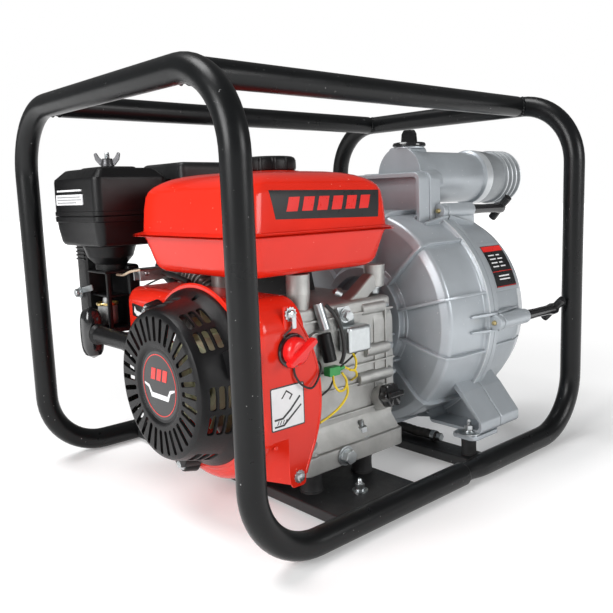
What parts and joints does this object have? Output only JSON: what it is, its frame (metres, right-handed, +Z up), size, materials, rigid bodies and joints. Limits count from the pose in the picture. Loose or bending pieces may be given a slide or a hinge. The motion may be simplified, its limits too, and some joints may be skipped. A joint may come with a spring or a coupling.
{
  "type": "portable fire pump",
  "caption": "Petrol engine water pump in a tubular roll cage, with end suction port, ribbed discharge hose tail, recoil starter and clamped front cover.",
  "frame": {"origin": "centre of the base, on the floor", "axes": "+X towards the suction and discharge side, along the crankshaft; +Z up; +Y towards the starter grip and air cleaner"},
  "size_m": [0.613, 0.457, 0.45],
  "materials": {
    "black_paint": "satin black paint",
    "black_plastic": "moulded, fine grain",
    "black_rubber": "matte",
    "cream_plastic": "moulded fan blades",
    "engine_aluminium": "cast, bead blasted",
    "foam": "open-cell foam",
    "pump_paint": "silver-grey enamel on cast aluminium",
    "red_paint": "gloss enamel",
    "red_plastic": "moulded",
    "steel": "bare machined steel",
    "white_ceramic": "glazed ceramic",
    "zinc": "zinc plated"
  },
  "bodies": {
    "frame": {"air_cleaner_base": "black_plastic", "air_cleaner_cover": "black_plastic", "base_plate": "black_paint", "carburettor": "engine_aluminium", "connecting_rod": "engine_aluminium", "crankcase": "engine_aluminium", "crankcase_side_cover": "engine_aluminium", "crankpin": "steel", "cylinder_head": "engine_aluminium", "discharge_pipe": "pump_paint", "drain_hose": "black_rubber", "engine_mount_1": "black_rubber", "engine_mount_2": "black_rubber", "engine_mount_3": "black_rubber", "engine_mount_4": "black_rubber", "fan_shroud": "red_paint", "filter_element": "foam", "frame_left_hoop": "black_paint", "frame_right_hoop": "black_paint", "fuel_tank": "red_paint", "hose_tail": "engine_aluminium", "muffler": "steel", "muffler_guard": "black_paint", "oil_alert_unit": "zinc", "oil_drain_plug": "zinc", "piston": "engine_aluminium", "pump_back_housing": "pump_paint", "pump_cross_bar": "black_paint", "pump_drain_plug": "zinc", "pump_front_cover": "pump_paint", "pump_mount_far": "black_rubber", "pump_mount_near": "black_rubber", "recoil_housing": "black_plastic", "rocker_cover": "engine_aluminium", "shaft_seal": "black_rubber", "spark_plug": "white_ceramic", "spark_plug_cap": "black_rubber", "top_rail_far": "black_paint", "top_rail_near": "black_paint"},
    "crank": {"crankshaft_front": "steel", "crankshaft_rear": "steel", "flywheel": "cream_plastic", "impeller": "steel"},
    "cam": {"camshaft": "steel"},
    "starter": {"starter_grip": "black_plastic", "starter_rope": "black_rubber"},
    "reel": {"recoil_reel": "black_plastic"},
    "fuel_cap_body": {"fuel_cap": "black_plastic"},
    "dipstick_body": {"dipstick": "black_plastic"},
    "priming_plug_body": {"priming_plug": "black_plastic"},
    "wing_nut_body": {"wing_nut": "zinc"},
    "t_handle_1_body": {"t_handle_1": "black_plastic"},
    "t_handle_2_body": {"t_handle_2": "black_plastic"},
    "t_handle_3_body": {"t_handle_3": "black_plastic"},
    "t_handle_4_body": {"t_handle_4": "black_plastic"},
    "ignition_switch_body": {"ignition_switch": "red_plastic"},
    "choke_lever_body": {"choke_lever": "steel"},
    "throttle_lever_body": {"throttle_lever": "steel"},
    "fuel_valve_lever_body": {"fuel_valve_lever": "black_plastic"},
    "suction_flap_body": {"suction_flap": "black_rubber"}
  },
  "joints": [
    {"name": "crank_spin", "type": "hinge", "parent": "frame", "child": "crank", "pos_m": [0, -0.052, 0.144], "axis": [1, 0, 0], "continuous": true},
    {"name": "cam_spin", "type": "hinge", "parent": "frame", "child": "cam", "pos_m": [0, -0.052, 0.092], "axis": [1, 0, 0], "continuous": true},
    {"name": "starter_pull", "type": "slide", "parent": "frame", "child": "starter", "axis": [0, 1, 0], "range_m": [0, 0.12], "stiffness_N_per_m": 60},
    {"name": "reel_spin", "type": "hinge", "parent": "frame", "child": "reel", "pos_m": [0, -0.052, 0.144], "axis": [1, 0, 0], "range_deg": [-232, 0]},
    {"name": "fuel_cap_turn", "type": "hinge", "parent": "frame", "child": "fuel_cap_body", "pos_m": [-0.12, -0.04, 0.36], "axis": [0, 0, 1], "range_deg": [0, 90]},
    {"name": "ignition_turn", "type": "hinge", "parent": "frame", "child": "ignition_switch_body", "pos_m": [-0.19, -0.15, 0.178], "axis": [0, -1, 0], "range_deg": [0, 60]},
    {"name": "dipstick_turn", "type": "hinge", "parent": "frame", "child": "dipstick_body", "pos_m": [-0.042, -0.139, 0.0983], "axis": [0, -0.9659, 0.2588], "range_deg": [0, 720]},
    {"name": "priming_plug_turn", "type": "hinge", "parent": "frame", "child": "priming_plug_body", "pos_m": [0.0955, -0.06, 0.389], "axis": [0, 0, 1], "range_deg": [0, 1080]},
    {"name": "wing_nut_turn", "type": "hinge", "parent": "frame", "child": "wing_nut_body", "pos_m": [-0.228, 0.134, 0.37], "axis": [0, 0, 1], "range_deg": [0, 1440]},
    {"name": "t_handle_1_turn", "type": "hinge", "parent": "frame", "child": "t_handle_1_body", "pos_m": [0.214, -0.202, 0.172], "axis": [1, 0, 0], "range_deg": [0, 1440]},
    {"name": "t_handle_2_turn", "type": "hinge", "parent": "frame", "child": "t_handle_2_body", "pos_m": [0.214, -0.11944, 0.30412], "axis": [1, 0, 0], "range_deg": [0, 1440]},
    {"name": "t_handle_3_turn", "type": "hinge", "parent": "frame", "child": "t_handle_3_body", "pos_m": [0.214, 0.092, 0.172], "axis": [1, 0, 0], "range_deg": [0, 1440]},
    {"name": "t_handle_4_turn", "type": "hinge", "parent": "frame", "child": "t_handle_4_body", "pos_m": [0.214, -0.11944, 0.03988], "axis": [1, 0, 0], "range_deg": [0, 1440]},
    {"name": "choke_turn", "type": "hinge", "parent": "frame", "child": "choke_lever_body", "pos_m": [-0.196, 0.1085, 0.192], "axis": [0, 1, 0], "range_deg": [0, 35]},
    {"name": "throttle_turn", "type": "hinge", "parent": "frame", "child": "throttle_lever_body", "pos_m": [-0.181, 0.13, 0.2117], "axis": [0, 0, 1], "range_deg": [0, 30]},
    {"name": "fuel_valve_turn", "type": "hinge", "parent": "frame", "child": "fuel_valve_lever_body", "pos_m": [-0.19, 0.1085, 0.156], "axis": [0, 1, 0], "range_deg": [-40, 0]},
    {"name": "suction_flap_swing", "type": "hinge", "parent": "frame", "child": "suction_flap_body", "pos_m": [0.1735, -0.055, 0.228], "axis": [0, 1, 0], "range_deg": [0, 55]}
  ],
  "couplings": [
    {"joint": "cam_spin", "follows": "crank_spin", "ratio": -0.5},
    {"joint": "reel_spin", "follows": "starter_pull", "rad_per_m": -33.333}
  ]
}
